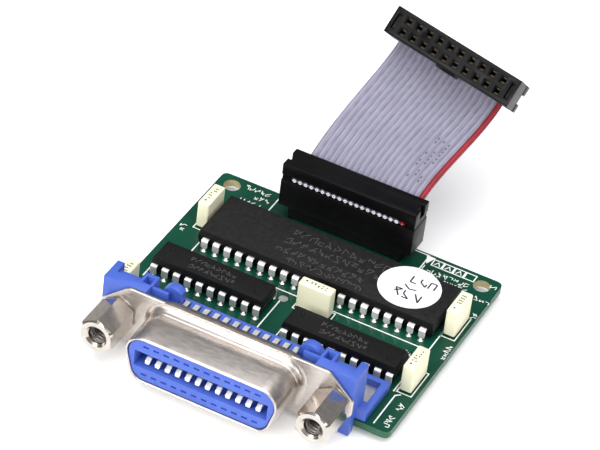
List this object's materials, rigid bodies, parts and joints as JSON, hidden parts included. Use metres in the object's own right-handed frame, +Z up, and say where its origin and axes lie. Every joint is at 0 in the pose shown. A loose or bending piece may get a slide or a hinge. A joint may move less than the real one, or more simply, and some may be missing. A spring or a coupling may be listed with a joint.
{
  "type": "instrument bus interface board",
  "caption": "Small circuit board with a shielded right-angle bus receptacle, dual in-line chips and a short ribbon cable plugged on a pin header.",
  "frame": {"origin": "centre of the circuit board's underside", "axes": "+X along the bus receptacle, +Y from the receptacle towards the ribbon cable, +Z up out of the board's component side"},
  "size_m": [0.0634, 0.0994, 0.0394],
  "materials": {
    "board_green": "glossy green solder mask on glass epoxy",
    "chip_black": "moulded black epoxy, fine satin",
    "tinned_copper": "bright tin plate",
    "capacitor_cream": "moulded pale cream case",
    "socket_black": "moulded black, satin",
    "bus_blue": "moulded blue, satin",
    "nickel": "bright nickel plate",
    "ribbon_grey": "grey vinyl insulation",
    "ribbon_red": "red vinyl insulation",
    "label_white": "coated white paper label",
    "contact_gold": "gold-flashed bronze"
  },
  "bodies": {
    "board": {"board_lock_left": "tinned_copper", "board_lock_right": "tinned_copper", "bus_controller_back_leads": "tinned_copper", "bus_controller_body": "chip_black", "bus_controller_front_leads": "tinned_copper", "capacitor_back_left_body": "capacitor_cream", "capacitor_back_left_lead_a": "tinned_copper", "capacitor_back_left_lead_b": "tinned_copper", "capacitor_back_right_body": "capacitor_cream", "capacitor_back_right_lead_a": "tinned_copper", "capacitor_back_right_lead_b": "tinned_copper", "capacitor_front_left_body": "capacitor_cream", "capacitor_front_left_lead_a": "tinned_copper", "capacitor_front_left_lead_b": "tinned_copper", "capacitor_front_right_body": "capacitor_cream", "capacitor_front_right_lead_a": "tinned_copper", "capacitor_front_right_lead_b": "tinned_copper", "capacitor_middle_body": "capacitor_cream", "capacitor_middle_lead_a": "tinned_copper", "capacitor_middle_lead_b": "tinned_copper", "circuit_board": "board_green", "contact_insert": "bus_blue", "contacts_lower": "tinned_copper", "contacts_upper": "tinned_copper", "header_pins_back": "contact_gold", "header_pins_front": "contact_gold", "header_wafer": "socket_black", "jack_socket_left": "nickel", "jack_socket_right": "nickel", "rear_shell": "nickel", "receptacle_shell": "nickel", "right_angle_bracket": "bus_blue", "round_label": "label_white", "threaded_sleeve_left": "nickel", "threaded_sleeve_right": "nickel", "transceiver_left_back_leads": "tinned_copper", "transceiver_left_body": "chip_black", "transceiver_left_front_leads": "tinned_copper", "transceiver_right_back_leads": "tinned_copper", "transceiver_right_body": "chip_black", "transceiver_right_front_leads": "tinned_copper"},
    "cable": {"board_socket_back_contacts": "contact_gold", "board_socket_body": "socket_black", "board_socket_cover": "socket_black", "board_socket_front_contacts": "contact_gold", "ribbon_grey_wires": "ribbon_grey", "ribbon_red_wire": "ribbon_red"},
    "cable_end": {"far_socket_back_contacts": "contact_gold", "far_socket_body": "socket_black", "far_socket_cover": "socket_black", "far_socket_front_contacts": "contact_gold"}
  },
  "joints": [
    {"name": "socket_pull_off", "type": "slide", "parent": "board", "child": "cable", "axis": [0, 0, 1], "range_m": [0, 0.01]},
    {"name": "ribbon_flex", "type": "hinge", "parent": "cable", "child": "cable_end", "pos_m": [-0.00145, 0.0272, 0.0116], "axis": [1, 0, 0], "range_deg": [-40, 40], "stiffness_Nm_per_rad": 0.08, "deforming": ["ribbon_grey_wires", "ribbon_red_wire"]}
  ]
}
